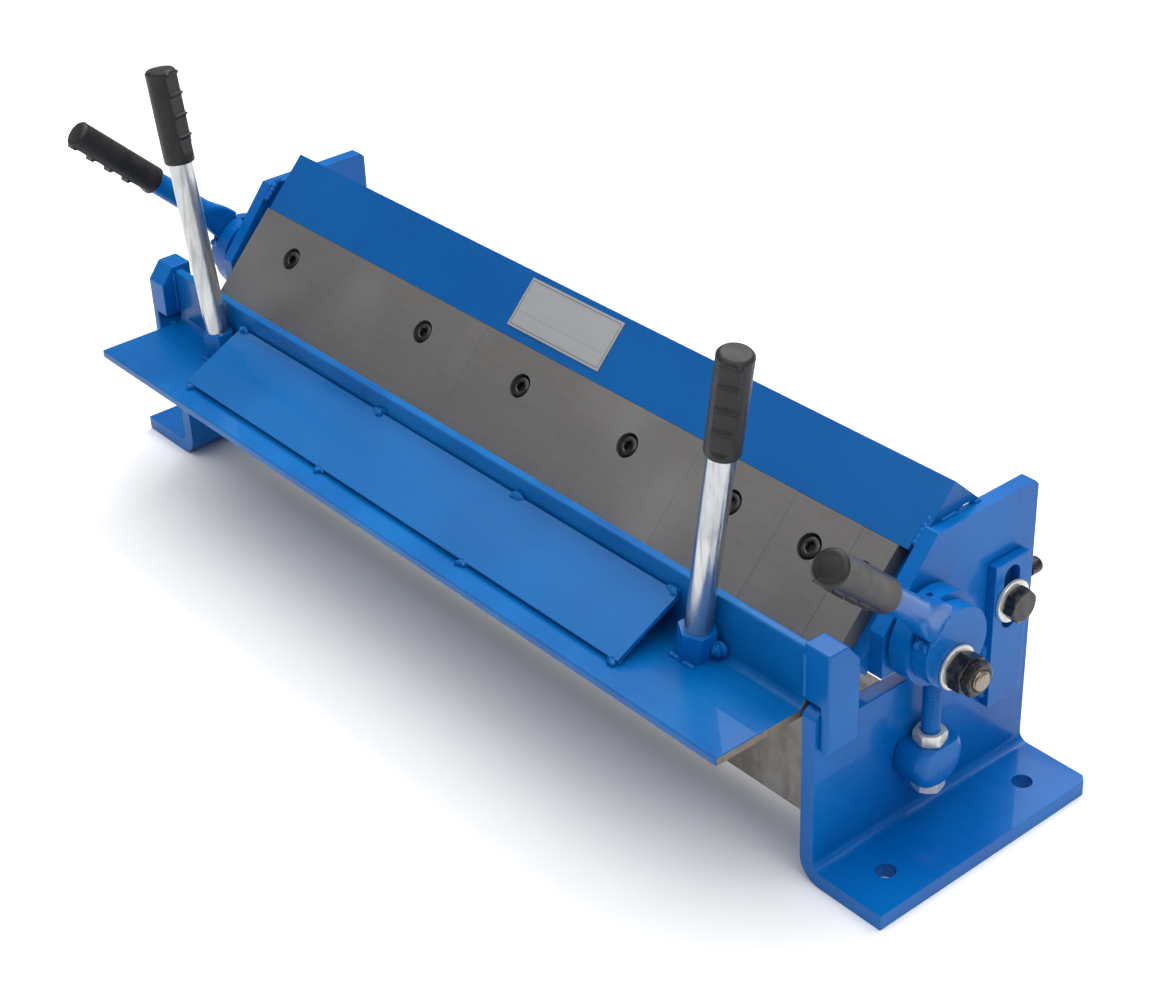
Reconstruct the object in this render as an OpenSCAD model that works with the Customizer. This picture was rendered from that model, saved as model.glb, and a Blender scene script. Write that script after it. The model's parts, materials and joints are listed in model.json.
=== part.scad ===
// Bench sheet metal brake, 610 mm working width, with five clamping fingers.
// Frame: X along the bending line (right end +X), Y from front to rear, Z up.
// The origin is the middle of the four bench holes on the bench top.
// The modules draw from the bending line at y = 0, and placed() moves each part.
// All sizes in millimetres.
// Rest state: clamping beam closed on the bed, bending leaf swung up square.

/* [Width] */
// clamping width over all five fingers
work_w = 609.6; // [500:0.1:620]
// height of the bed surface above the bench
bed_z = 103.8; // [96:0.1:115]

/* [Base] */
// thickness of the bent base end plates and of the clamp end plates
plate_t = 10; // [8:0.5:10]
// how far each foot reaches outward from its end plate
foot_reach = 51.5; // [44:0.5:70]
// diameter of the four bench holes
foot_hole_d = 12; // [8:0.5:14]
// depth of the bed bar, front to rear
bed_depth = 50; // [40:1:60]
// height of the bed bar
bed_h = 70; // [50:1:80]

/* [Bending leaf] */
// thickness of the leaf angle
leaf_t = 6; // [4:0.5:7]
// reach of the level flange forward of the bending line
leaf_reach = 70.5; // [60:0.5:80]
// tilt of each leaf handle away from upright, outward
leaf_handle_tilt = 9.5; // [0:0.5:12]
// length of each leaf handle from the flange to the end of its grip
leaf_handle_l = 205; // [180:1:240]

/* [Clamp] */
// length of the visible finger face along the slope
finger_l = 102.5; // [95:0.5:104]
// finger thickness
finger_t = 12; // [9:0.5:13]
// throw of each eccentric
cam_throw = 12.5; // [9:0.5:12.5]
// diameter of the threaded link rods
rod_d = 10; // [8:0.5:12]
// reach of each clamp handle from the hub to the end of its grip
cam_handle_l = 161.5; // [130:0.5:180]
// outward splay of the clamp handles
cam_splay = 8.7; // [0:0.1:10]
// angle of the right clamp handle above level when clamped
cam_rise_right = 41.4; // [35:0.1:50]
// angle of the left clamp handle above level when clamped
cam_rise_left = 44; // [35:0.1:50]

/* [Show] */
// part to draw: "all" or one name from the list below

/* [Hidden] */
$fn = 48;

run_gap = 0.3;                        // gap kept across every joint
bore_gap = 0.05;                      // running fit of a shaft in its bore
half_w = work_w / 2;
in_x = half_w + 9.2;                  // inner face of the base end plates
out_x = in_x + plate_t;               // outer face of the base end plates
foot_x = out_x + foot_reach;
base_y0 = -10;
base_y1 = 163.5;
bend_r = 6;                           // inner radius of the foot bend
ear_r = 13;                           // ear round each leaf pivot
pin_r = 5;
foot_hole_r = foot_hole_d / 2;
foot_hole_x = out_x + foot_reach * 0.53;
foot_hole_y = [19.5, 133.5];
foot_mid_y = (foot_hole_y[0] + foot_hole_y[1]) / 2;

clamp_x1 = out_x - run_gap;           // outer face of the clamp end plates
clamp_x0 = clamp_x1 - plate_t;        // inner face of the clamp end plates
clamp_top_z = 190;                    // top of the clamp end plates
bar_t = 6;                            // guide bar thickness
bar_y0 = 124;
bar_y1 = 152;
bar_z0 = 56;
bar_z1 = 151;
bolt_y = 138;                         // rear guide bolt, the beam's pivot
bolt_z = 124;
bolt_r = 6;
slot_r = bolt_r + run_gap;
slot_z0 = 112;
slot_z1 = 140.5;

slope = 46.4;                         // finger face angle above the bed
tip_y = 0.6;
tip_z = bed_z + run_gap;
nose = 1.3;                            // sharp tip edge cut back to a flat
face_y = tip_y + finger_l * cos(slope);
face_z = tip_z + finger_l * sin(slope);
panel_l = 44.4;                       // panel above the fingers, along the slope
panel_t = 3;
backing_t = 10;
finger_gap = 0.2;

hub_y = 70.5;                         // cam stud axis
stud_z = 122;
eye_z = stud_z + cam_throw;           // centre of the link rod's eye at rest
stud_r = 6;
spacer_t = 2;
eye_x0 = out_x + spacer_t + run_gap;  // eye of the link rod
eye_w = 12.4;
eye_r = 28;
eye_bore_r = 22;
ecc_r = 20;
disc_x0 = eye_x0 + eye_w + run_gap;   // handle disc
disc_t = 10.6;
disc_r = 24;
disc_x1 = disc_x0 + disc_t;
rod_x = out_x + 10.5;
rod_r = rod_d / 2;
trun_z = 54;                          // trunnion axis
trun_r = 18.5;
trun_w = 20.6;
trun_flat = 10;                       // flat under the upper nut
trun_low = 14.5;                      // flat over the lower nut
spigot_r = 8;

leaf_z0 = bed_z + 3.7;                // underside of the level flange
leaf_z1 = leaf_z0 + leaf_t;
leaf_top = bed_z + 48.7;
leaf_x = in_x - 2;                    // half length of the leaf angle
block_z1 = bed_z + 52;
block_t = 6;
socket_af = 20;
socket_h = 20;
socket_y = -leaf_t - socket_af / 2;
socket_x = [236.5, -241];
tube_r = 8;
tube_bore_r = 6;
grip_r = 10.3;
grip_l = 64;                          // grips of the leaf handles
cam_grip_l = 70.5;                    // grips of the clamp handles
cam_tube_start = 32;                  // where the clamp handle tube leaves its lug

// moves a part from the bending line into the frame
module placed() {
  translate([0, -foot_mid_y, 0])
    children();
}

// runs a YZ outline along X from x0 to x1
module along_x(x0, x1) {
  translate([x0, 0, 0])
    rotate([90, 0, 90])
      linear_extrude(height = x1 - x0)
        children();
}

// solid cylinder along X
module bar_x(x0, x1, y, z, r) {
  translate([x0, y, z])
    rotate([0, 90, 0])
      cylinder(h = x1 - x0, r = r);
}

// hexagonal nut body along X with a plain bore
module nut_x(x0, x1, y, z, af, bore_r) {
  translate([x0, y, z])
    rotate([0, 90, 0])
      difference() {
        cylinder(h = x1 - x0, r = af / 2 / cos(30), $fn = 6);
        translate([0, 0, -1])
          cylinder(h = x1 - x0 + 2, r = bore_r);
      }
}

// flat washer along X
module washer_x(x0, x1, y, z, r, bore_r) {
  difference() {
    bar_x(x0, x1, y, z, r);
    bar_x(x0 - 1, x1 + 1, y, z, bore_r);
  }
}

// repeats a child on the right and mirrored on the left
module both_ends() {
  children();
  mirror([1, 0, 0])
    children();
}

// bent end plate: upright, outward foot, ear round the leaf pivot
module base_end_plate() {
  difference() {
    union() {
      // upright above the bend
      translate([in_x, base_y0, plate_t + bend_r])
        cube([plate_t, base_y1 - base_y0, bed_z - plate_t - bend_r]);
      // foot outside the bend
      translate([out_x + bend_r, base_y0, 0])
        cube([foot_reach - bend_r, base_y1 - base_y0, plate_t]);
      // bend
      translate([out_x + bend_r, base_y1, plate_t + bend_r])
        rotate([90, 0, 0])
          intersection() {
            difference() {
              cylinder(h = base_y1 - base_y0, r = plate_t + bend_r);
              translate([0, 0, -1])
                cylinder(h = base_y1 - base_y0 + 2, r = bend_r);
            }
            translate([-plate_t - bend_r, -plate_t - bend_r, -1])
              cube([plate_t + bend_r, plate_t + bend_r, base_y1 - base_y0 + 2]);
          }
      // ear
      intersection() {
        bar_x(in_x, out_x, 0, bed_z, ear_r);
        translate([in_x, base_y0, bed_z - 5])
          cube([plate_t, 40, 40]);
      }
    }
    bar_x(in_x - 1, out_x + 1, 0, bed_z, pin_r + bore_gap);
    bar_x(in_x - 1, out_x + 1, hub_y, trun_z, spigot_r + bore_gap);
    for (y = foot_hole_y)
      translate([foot_hole_x, y, -1])
        cylinder(h = plate_t + 2, r = foot_hole_r);
    // clipped rear corner of the foot
    translate([foot_x, base_y1, -1])
      rotate([0, 0, 45])
        translate([-3, -3, 0])
          cube([6, 6, plate_t + 2]);
  }
}

module base_end_plate_right() {
  color("royalblue") placed()
    base_end_plate();
}

module base_end_plate_left() {
  color("royalblue") placed()
    mirror([1, 0, 0])
      base_end_plate();
}

// solid bed bar, welded between the base end plates
module bed() {
  color("dimgray") placed()
    translate([-in_x, 1, bed_z - bed_h])
      cube([2 * in_x, bed_depth, bed_h]);
}

// slotted flat bar on the outside of each base end plate
module guide_bar() {
  difference() {
    translate([out_x, bar_y0, bar_z0])
      cube([bar_t, bar_y1 - bar_y0, bar_z1 - bar_z0]);
    bar_x(out_x - 1, out_x + bar_t + 1, bolt_y, slot_z0, slot_r);
    bar_x(out_x - 1, out_x + bar_t + 1, bolt_y, slot_z1, slot_r);
    translate([out_x - 1, bolt_y - slot_r, slot_z0])
      cube([bar_t + 2, 2 * slot_r, slot_z1 - slot_z0]);
  }
}

module guide_bar_right() {
  color("royalblue") placed()
    guide_bar();
}

module guide_bar_left() {
  color("royalblue") placed()
    mirror([1, 0, 0])
      guide_bar();
}

// rolled angle with a filleted root
module leaf_section() {
  root_r = 5;
  difference() {
    union() {
      translate([-leaf_reach, leaf_z0])
        square([leaf_reach, leaf_t]);
      translate([-leaf_t, leaf_z0])
        square([leaf_t, leaf_top - leaf_z0]);
      translate([-leaf_t - root_r, leaf_z1])
        square([root_r, root_r]);
    }
    translate([-leaf_t - root_r, leaf_z1 + root_r])
      circle(r = root_r);
  }
}

module leaf_angle() {
  color("royalblue") placed()
    along_x(-leaf_x, leaf_x)
      leaf_section();
}

// sloping stiffener plate with eight tack welds, leaning in the leaf angle
module leaf_stiffener() {
  stiff_x0 = -226;
  stiff_x1 = 216;
  foot_y = -54;
  rise = 27;
  weld_front = [-218, -71, 76, 210];
  weld_top = [-222, -66, 74, 212];
  color("royalblue") placed()
    difference() {
      union() {
        along_x(stiff_x0, stiff_x1)
          polygon([
            [foot_y, leaf_z1], [foot_y + 4, leaf_z1],
            [-leaf_t, leaf_z1 + rise - 4], [-leaf_t, leaf_z1 + rise + 1],
            [-leaf_t - 1, leaf_z1 + rise + 1], [foot_y, leaf_z1 + 4]
          ]);
        for (x = weld_front)
          translate([x, foot_y, leaf_z1 + 0.5])
            sphere(r = 3, $fn = 20);
        for (x = weld_top)
          translate([x, -leaf_t - 0.5, leaf_z1 + rise + 1])
            sphere(r = 3, $fn = 20);
      }
      along_x(-leaf_x, leaf_x)
        leaf_section();
    }
}

// block at the leaf's end: lug over the ear, slab outside the end plate
module pivot_block(s) {
  z0 = bed_z - 13;
  lug_z = bed_z + 16;
  y0 = -7;
  y1 = 17;
  slab_x = out_x + 0.4;
  along_x(slab_x, slab_x + block_t)
    polygon([[s * y0, z0], [s * y1, z0], [s * y1, block_z1 - 12],
             [s * 7.5, block_z1], [s * y0, block_z1]]);
  along_x(leaf_x, slab_x)
    polygon([[s * y0, lug_z], [s * y1, lug_z], [s * y1, block_z1 - 12],
             [s * 7.5, block_z1], [s * y0, block_z1]]);
}

module leaf_pivot_block_right() {
  color("royalblue") placed()
    pivot_block(1);
}

module leaf_pivot_block_left() {
  color("royalblue") placed()
    mirror([1, 0, 0])
      pivot_block(-1);
}

// hinge pins, fixed in the slabs and turning in the base end plates
module leaf_pivot_pins() {
  color("silver") placed()
    both_ends()
      bar_x(in_x + run_gap, out_x + 0.4, 0, bed_z, pin_r);
}

// moves a child built along +Z to the foot of a leaf handle
module at_leaf_handle(i) {
  side = i == 0 ? 1 : -1;
  translate([socket_x[i], socket_y, leaf_z1])
    rotate([0, side * leaf_handle_tilt, 0])
      children();
}

// welded hexagonal sockets for the leaf handles
module leaf_handle_sockets() {
  color("royalblue") placed()
    for (i = [0, 1])
      difference() {
        at_leaf_handle(i)
          translate([0, 0, -4])
            rotate([0, 0, 30])
              cylinder(h = socket_h + 4, r = socket_af / 2 / cos(30), $fn = 6);
        at_leaf_handle(i)
          translate([0, 0, 6])
            cylinder(h = socket_h, r = tube_r);
        translate([socket_x[i] - 30, socket_y - 30, leaf_z1 - 20])
          cube([60, 60, 20]);
        along_x(-leaf_x, leaf_x)
          leaf_section();
      }
}

module leaf_handle_tubes() {
  color("silver") placed()
    for (i = [0, 1])
      at_leaf_handle(i)
        difference() {
          translate([0, 0, 6])
            cylinder(h = leaf_handle_l - 14, r = tube_r);
          translate([0, 0, 5])
            cylinder(h = leaf_handle_l, r = tube_bore_r);
        }
}

// moulded grip along +Z, open end at z = 0, with three finger ribs
module grip(len, tube_end) {
  difference() {
    union() {
      rotate_extrude()
        polygon([[0, 0], [grip_r - 0.6, 0], [grip_r, 1], [grip_r, len - 3],
                 [grip_r - 2.5, len], [0, len]]);
      for (k = [0.32, 0.52, 0.72])
        translate([0, grip_r - 0.6, len * k])
          rotate([90, 0, 0])
            translate([-5.5, -1.5, -1.4])
              cube([11, 3, 3]);
    }
    translate([0, 0, -1])
      cylinder(h = tube_end + 1, r = tube_r);
  }
}

module leaf_grips() {
  color("dimgray") placed()
    for (i = [0, 1])
      at_leaf_handle(i)
        translate([0, 0, leaf_handle_l - grip_l])
          rotate([0, 0, -90])
            grip(grip_l, grip_l - 8);
}

// clamp end plate standing above the base end plate
module clamp_end_plate() {
  front_y = 41;
  rear_y = 163;
  low_z = bed_z + 10.4;
  top_z = clamp_top_z;
  screw_x = (clamp_x0 + clamp_x1) / 2;
  difference() {
    along_x(clamp_x0, clamp_x1)
      polygon([[front_y, low_z], [rear_y, low_z], [rear_y, top_z - 3],
               [rear_y - 3, top_z], [81, top_z], [front_y, 142]]);
    bar_x(clamp_x0 - 1, clamp_x1 + 1, hub_y, stud_z, stud_r);
    bar_x(clamp_x0 - 1, clamp_x1 + 1, bolt_y, bolt_z, bolt_r);
    translate([screw_x, 145, bolt_z + 3])
      rotate([-90, 0, 0])
        cylinder(h = 30, r = 3 + bore_gap);
  }
}

module clamp_end_plate_right() {
  color("royalblue") placed()
    clamp_end_plate();
}

module clamp_end_plate_left() {
  color("royalblue") placed()
    mirror([1, 0, 0])
      clamp_end_plate();
}

// runs a profile given as [along slope, depth] along X, zero at the face edge
module sloped(x0, x1) {
  translate([0, face_y, face_z])
    rotate([slope, 0, 0])
      along_x(x0, x1)
        children();
}

// backing plate behind the fingers, welded between the clamp end plates
module clamp_backing_plate() {
  color("royalblue") placed()
    difference() {
      sloped(-clamp_x0, clamp_x0)
        translate([-70, -finger_t - backing_t])
          square([96, backing_t]);
      finger_screw_holes(4);
    }
}

// folded panel above the fingers
// with a gusset at its right end standing on top of the clamp end plate
module clamp_panel() {
  low_z = clamp_top_z + 0.1;
  s0 = (low_z - face_z) / sin(slope);
  s1 = s0 + panel_t / tan(slope);
  top_y = face_y + panel_l * cos(slope);
  top_z = face_z + panel_l * sin(slope);
  color("royalblue") placed() {
    sloped(-half_w + 2, clamp_x0 - 2.5)
      polygon([[0.2, 0], [panel_l, 0], [panel_l, -panel_t],
               [0.2 + panel_t, -panel_t], [0.2 + panel_t, -finger_t],
               [0.2, -finger_t]]);
    sloped(clamp_x0 - 3, clamp_x0 + 2.4)
      polygon([[s0, 0], [panel_l, 0], [panel_l, -panel_t], [s1, -panel_t]]);
    difference() {
      along_x(clamp_x0 + 0.2, clamp_x0 + 2.4)
        polygon([[face_y + s0 * cos(slope), low_z], [top_y, top_z],
                 [top_y + (top_z - low_z) * tan(slope), low_z]]);
      translate([clamp_x0 - 1, 111, clamp_top_z - 0.4])
        scale([1, 2, 1])
          rotate([0, 90, 0])
            cylinder(h = 6, r = 3);
    }
  }
}

// plain rating plate, no marking
module label_plate() {
  color("lightgray") placed()
    sloped(-36.5, 51.5)
      translate([6.5, 0])
        square([34, 0.8]);
}

// places a child at every finger screw, built along -Z from the face
module at_finger_screws() {
  for (x = [50.8, 203.2, 304.8, 406.4, 495.3, 558.8, 596.9])
    translate([x * work_w / 609.6 - half_w, face_y, face_z])
      rotate([slope, 0, 0])
        translate([0, -24, 0])
          children();
}

module finger_screw_holes(r) {
  at_finger_screws()
    translate([0, 0, -40])
      cylinder(h = 41, r = r, $fn = 32);
}

module finger_counterbores() {
  at_finger_screws()
    translate([0, 0, -8.6])
      cylinder(h = 9, r = 8, $fn = 32);
}

// one finger from a to b of the working width, its nose blunted by a narrow flat
module finger(a, b) {
  k = work_w / 609.6;
  x0 = a * k - half_w + finger_gap / 2;
  x1 = b * k - half_w - finger_gap / 2;
  dy = finger_t * sin(slope);
  dz = finger_t * cos(slope);
  back = (dz + 1.6) / tan(slope);
  color("gray") placed()
    difference() {
      along_x(x0, x1)
        polygon([[tip_y + nose, tip_z], [tip_y + 5, tip_z],
                 [tip_y + dy + back, tip_z + 1.6],
                 [face_y + dy, face_z - dz], [face_y, face_z],
                 [tip_y + nose, tip_z + nose * tan(slope)]]);
      finger_screw_holes(4);
      finger_counterbores();
    }
}

module finger_254() {
  finger(0, 254);
}

module finger_203() {
  finger(254, 457.2);
}

module finger_76() {
  finger(457.2, 533.4);
}

module finger_51() {
  finger(533.4, 584.2);
}

module finger_25() {
  finger(584.2, 609.6);
}

// seven socket head screws holding the fingers
module finger_screws() {
  color("dimgray") placed()
    at_finger_screws()
      difference() {
        union() {
          translate([0, 0, -8.6])
            cylinder(h = 8, r = 6.5, $fn = 32);
          translate([0, 0, -finger_t - backing_t])
            cylinder(h = finger_t + backing_t - 8.6, r = 4, $fn = 32);
        }
        translate([0, 0, -4.6])
          cylinder(h = 5, r = 3.46, $fn = 6);
      }
}

// studs in the clamp end plates, the axes of the eccentrics
module cam_studs() {
  stud_end = disc_x1 + 20;
  color("dimgray") placed()
    both_ends() {
      bar_x(clamp_x0, stud_end - 1.5, hub_y, stud_z, stud_r);
      translate([stud_end - 1.5, hub_y, stud_z])
        rotate([0, 90, 0])
          cylinder(h = 1.5, r1 = stud_r, r2 = stud_r - 1.2);
    }
}

module cam_spacer_washers() {
  color("silver") placed()
    both_ends()
      washer_x(clamp_x1, clamp_x1 + spacer_t, hub_y, stud_z, 14, stud_r);
}

module cam_washers() {
  color("silver") placed()
    both_ends()
      washer_x(disc_x1 + run_gap, disc_x1 + run_gap + 2, hub_y, stud_z, 13.5, stud_r);
}

// plain nut and lock nut on each stud
module cam_nuts() {
  n0 = disc_x1 + run_gap + 2;
  color("dimgray") placed()
    both_ends() {
      nut_x(n0, n0 + 10, hub_y, stud_z, 21, stud_r);
      nut_x(n0 + 10, n0 + 15.5, hub_y, stud_z, 19, stud_r);
    }
}

// hexagon bolts in the slots of the guide bars
module slot_bolts() {
  head_x = out_x + bar_t + run_gap + 2.5;
  color("dimgray") placed()
    both_ends() {
      bar_x(clamp_x0, head_x, bolt_y, bolt_z, bolt_r);
      translate([head_x, bolt_y, bolt_z])
        rotate([0, 90, 0])
          cylinder(h = 7.5, r = 19 / 2 / cos(30), $fn = 6);
    }
}

module slot_washers() {
  wash_x = out_x + bar_t + run_gap;
  color("silver") placed()
    both_ends()
      washer_x(wash_x, wash_x + 2.5, bolt_y, bolt_z, 13, bolt_r);
}

// screw in the rear edge of each clamp end plate, sets the beam fore and aft
module setback_screw() {
  translate([(clamp_x0 + clamp_x1) / 2, 0, bolt_z + 3])
    rotate([-90, 0, 0]) {
      translate([0, 0, 146])
        cylinder(h = 18.5, r = 3);
      translate([0, 0, 164.5])
        cylinder(h = 9, r = 5);
    }
}

module setback_screw_right() {
  color("dimgray") placed()
    setback_screw();
}

module setback_screw_left() {
  color("dimgray") placed()
    mirror([1, 0, 0])
      setback_screw();
}

// moves a child built along +Z to the clamp handle's line, inside the disc
module at_cam_lug(rise) {
  translate([disc_x0 + 0.4, hub_y, eye_z])
    rotate([90 - rise, 0, 0])
      translate([0, 7.25, 0])
        children();
}

// the same, turned outward by the splay
module at_cam_handle(rise) {
  at_cam_lug(rise)
    rotate([0, cam_splay, 0])
      children();
}

// eccentric, handle disc and handle lug in one piece
module cam_hub(rise) {
  difference() {
    union() {
      bar_x(eye_x0, disc_x0, hub_y, eye_z, ecc_r);
      bar_x(disc_x0, disc_x1, hub_y, eye_z, disc_r);
      at_cam_lug(rise)
        translate([0.2, -6, 12])
          cube([disc_t - 1.2, 12, 22]);
    }
    bar_x(eye_x0 - 1, disc_x1 + 1, hub_y, stud_z, stud_r + bore_gap);
    at_cam_handle(rise)
      translate([0, 0, cam_tube_start])
        cylinder(h = 20, r = tube_r + 4);
  }
}

module cam_hub_right() {
  color("royalblue") placed()
    cam_hub(cam_rise_right);
}

module cam_hub_left() {
  color("royalblue") placed()
    mirror([1, 0, 0])
      cam_hub(cam_rise_left);
}

module cam_tube(rise) {
  at_cam_handle(rise)
    difference() {
      translate([0, 0, cam_tube_start])
        cylinder(h = cam_handle_l - 8 - cam_tube_start, r = tube_r);
      translate([0, 0, cam_tube_start + 4])
        cylinder(h = cam_handle_l, r = tube_bore_r);
    }
}

module cam_handle_tube_right() {
  color("royalblue") placed()
    cam_tube(cam_rise_right);
}

module cam_handle_tube_left() {
  color("royalblue") placed()
    mirror([1, 0, 0])
      cam_tube(cam_rise_left);
}

module cam_grip(rise) {
  at_cam_handle(rise)
    translate([0, 0, cam_handle_l - cam_grip_l])
      rotate([0, 0, 180])
        grip(cam_grip_l, cam_grip_l - 8);
}

module cam_grip_right() {
  color("dimgray") placed()
    cam_grip(cam_rise_right);
}

module cam_grip_left() {
  color("dimgray") placed()
    mirror([1, 0, 0])
      cam_grip(cam_rise_left);
}

// eye round the eccentric with its threaded rod and an oil hole
module eye_rod() {
  difference() {
    union() {
      bar_x(eye_x0, eye_x0 + eye_w, hub_y, eye_z, eye_r);
      translate([rod_x, hub_y, 30.5])
        cylinder(h = eye_z - eye_r + 2 - 30.5, r = rod_r);
    }
    bar_x(eye_x0 - 1, eye_x0 + eye_w + 1, hub_y, eye_z, eye_bore_r);
    translate([eye_x0 + eye_w / 2, hub_y, eye_z])
      rotate([9, 0, 0])
        cylinder(h = eye_r + 2, r = 1.8, $fn = 24);
  }
}

module eye_rod_right() {
  color("royalblue") placed()
    eye_rod();
}

module eye_rod_left() {
  color("royalblue") placed()
    mirror([1, 0, 0])
      eye_rod();
}

// nuts above and below each trunnion
module rod_nuts() {
  nut_h = 7.5;
  nut_af = 17;
  for (z = [trun_z + trun_flat, trun_z - trun_low - nut_h])
    translate([rod_x, hub_y, z])
      difference() {
        rotate([0, 0, 15])
          cylinder(h = nut_h, r = nut_af / 2 / cos(30), $fn = 6);
        translate([0, 0, -1])
          cylinder(h = nut_h + 2, r = rod_r);
      }
}

module rod_nuts_right() {
  color("silver") placed()
    rod_nuts();
}

module rod_nuts_left() {
  color("silver") placed()
    mirror([1, 0, 0])
      rod_nuts();
}

// swivelling boss that carries the rod, its spigot turns in the end plate
module trunnion() {
  x0 = out_x + run_gap;
  difference() {
    union() {
      intersection() {
        bar_x(x0, x0 + trun_w, hub_y, trun_z, trun_r);
        translate([x0 - 1, hub_y - 30, trun_z - trun_low])
          cube([trun_w + 2, 60, trun_low + trun_flat]);
      }
      bar_x(in_x + run_gap, x0, hub_y, trun_z, spigot_r);
    }
    translate([rod_x, hub_y, trun_z - trun_low - 1])
      cylinder(h = trun_low + trun_flat + 2, r = rod_r);
  }
}

module trunnion_right() {
  color("royalblue") placed()
    trunnion();
}

module trunnion_left() {
  color("royalblue") placed()
    mirror([1, 0, 0])
      trunnion();
}

base_end_plate_right();
base_end_plate_left();
bed();
guide_bar_right();
guide_bar_left();
leaf_angle();
leaf_stiffener();
leaf_pivot_block_right();
leaf_pivot_block_left();
leaf_pivot_pins();
leaf_handle_sockets();
leaf_handle_tubes();
leaf_grips();
clamp_end_plate_right();
clamp_end_plate_left();
clamp_backing_plate();
clamp_panel();
label_plate();
finger_254();
finger_203();
finger_76();
finger_51();
finger_25();
finger_screws();
cam_studs();
cam_spacer_washers();
cam_washers();
cam_nuts();
slot_bolts();
slot_washers();
setback_screw_right();
setback_screw_left();
cam_hub_right();
cam_hub_left();
cam_handle_tube_right();
cam_handle_tube_left();
cam_grip_right();
cam_grip_left();
eye_rod_right();
eye_rod_left();
rod_nuts_right();
rod_nuts_left();
trunnion_right();
trunnion_left();
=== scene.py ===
import json
import math
import bmesh
import bpy
import numpy as np
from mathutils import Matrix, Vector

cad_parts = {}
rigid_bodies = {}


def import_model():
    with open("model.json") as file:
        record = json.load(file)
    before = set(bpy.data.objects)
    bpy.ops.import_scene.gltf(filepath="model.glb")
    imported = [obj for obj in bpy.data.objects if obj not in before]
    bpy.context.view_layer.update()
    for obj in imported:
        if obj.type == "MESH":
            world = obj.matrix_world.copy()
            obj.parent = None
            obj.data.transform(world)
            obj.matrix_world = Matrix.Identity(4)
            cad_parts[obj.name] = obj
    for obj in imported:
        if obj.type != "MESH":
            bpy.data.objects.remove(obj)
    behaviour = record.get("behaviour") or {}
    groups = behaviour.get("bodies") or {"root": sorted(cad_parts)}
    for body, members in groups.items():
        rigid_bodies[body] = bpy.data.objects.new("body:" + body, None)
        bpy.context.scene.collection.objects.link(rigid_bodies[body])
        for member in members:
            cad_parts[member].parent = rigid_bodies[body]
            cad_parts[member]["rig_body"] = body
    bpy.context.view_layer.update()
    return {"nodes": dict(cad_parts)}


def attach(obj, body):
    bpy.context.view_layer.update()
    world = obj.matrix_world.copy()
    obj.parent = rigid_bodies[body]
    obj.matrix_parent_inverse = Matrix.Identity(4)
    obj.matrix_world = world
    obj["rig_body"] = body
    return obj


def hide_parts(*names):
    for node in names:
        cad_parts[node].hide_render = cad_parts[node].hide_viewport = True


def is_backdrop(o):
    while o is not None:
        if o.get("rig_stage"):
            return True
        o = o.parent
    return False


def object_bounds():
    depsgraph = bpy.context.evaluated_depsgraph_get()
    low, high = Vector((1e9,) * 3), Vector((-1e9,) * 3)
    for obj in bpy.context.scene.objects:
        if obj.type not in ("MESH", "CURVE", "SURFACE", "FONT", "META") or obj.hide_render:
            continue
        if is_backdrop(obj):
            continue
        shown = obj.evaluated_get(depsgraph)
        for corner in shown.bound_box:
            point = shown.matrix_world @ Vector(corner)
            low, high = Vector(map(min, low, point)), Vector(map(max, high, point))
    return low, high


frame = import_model()

# ---------------------------------------------------------------------------
# Studio: a pale seamless floor, a soft dome that is brightest overhead, and
# two large soft boxes. The camera stands in front of the right-hand end,
# looking down at the fingers.
turn = 0.8891
tilt = 0.5515
roll = -0.04246
eye = np.array([0.9981, -0.7853, 0.8538])
look = np.array([-math.sin(turn) * math.cos(tilt), math.cos(turn) * math.cos(tilt), -math.sin(tilt)])
level = np.array([math.cos(turn), math.sin(turn), 0.0])
rise = np.cross(level, look)
right = level * math.cos(roll) + rise * math.sin(roll)
upward = rise * math.cos(roll) - level * math.sin(roll)
camera = bpy.data.objects.new("camera", bpy.data.cameras.new("camera"))
camera.data.lens = 70.85
camera.data.sensor_width = 36
camera.data.clip_end = 60
place = np.eye(4)
place[:3, 0] = right
place[:3, 1] = upward
place[:3, 2] = -look
place[:3, 3] = eye
camera.matrix_world = place.T.tolist()
bpy.context.scene.collection.objects.link(camera)
bpy.context.scene.camera = camera
bpy.context.scene.view_settings.view_transform = "Standard"
bpy.context.scene.view_settings.look = "None"


class Wire:
    """A shader value in a Python expression: each operator adds one Math node."""

    def __init__(self, graph, socket):
        self.graph = graph
        self.socket = socket

    def math(self, operation, *values):
        return self.graph.node("ShaderNodeMath", {"operation": operation}, dict(enumerate(values)))

    def __add__(self, other):
        return self.math("ADD", self, other)

    def __sub__(self, other):
        return self.math("SUBTRACT", self, other)

    def __rsub__(self, other):
        return self.math("SUBTRACT", other, self)

    def __mul__(self, other):
        return self.math("MULTIPLY", self, other)

    def __gt__(self, other):
        return self.math("GREATER_THAN", self, other)

    __radd__ = __add__
    __rmul__ = __mul__


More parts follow.
